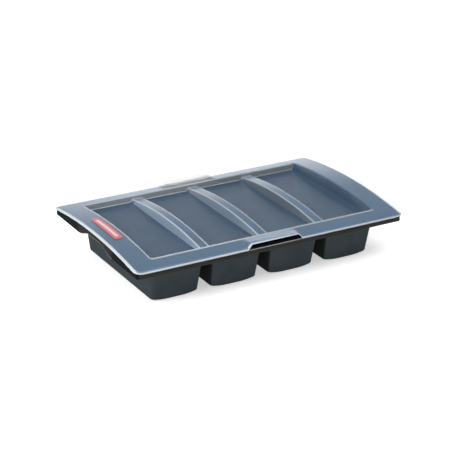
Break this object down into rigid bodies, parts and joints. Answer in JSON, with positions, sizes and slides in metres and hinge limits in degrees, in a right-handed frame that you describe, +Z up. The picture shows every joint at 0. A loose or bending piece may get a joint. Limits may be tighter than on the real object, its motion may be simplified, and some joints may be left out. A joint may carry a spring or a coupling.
{
  "type": "soap loaf mould",
  "caption": "Wide charcoal tray mould with a row of deep rectangular loaf cups, arched rim with end hand holds, and a frosted translucent lift-off lid with flat pockets and finger tabs.",
  "frame": {"origin": "bottom centre, midway along and across the mould at the height of the surface it stands on", "axes": "+X along the long side, across the cups; -Y the front; +Z up, the way the lid lifts"},
  "size_m": [0.3498, 0.2216, 0.0631],
  "materials": {
    "tray_charcoal": "satin",
    "stiffener_steel": "satin",
    "lid_frosted": "frosted",
    "label_red": "satin"
  },
  "bodies": {
    "tray": {"tray_rim": "tray_charcoal", "loaf_cup_1": "tray_charcoal", "loaf_cup_2": "tray_charcoal", "loaf_cup_3": "tray_charcoal", "loaf_cup_4": "tray_charcoal", "rim_stiffener": "stiffener_steel"},
    "lid": {"lid": "lid_frosted", "lid_label": "label_red"}
  },
  "joints": [
    {"name": "lid_lift", "type": "slide", "parent": "tray", "child": "lid", "axis": [0, 0, 1], "range_m": [0, 0.06]}
  ]
}
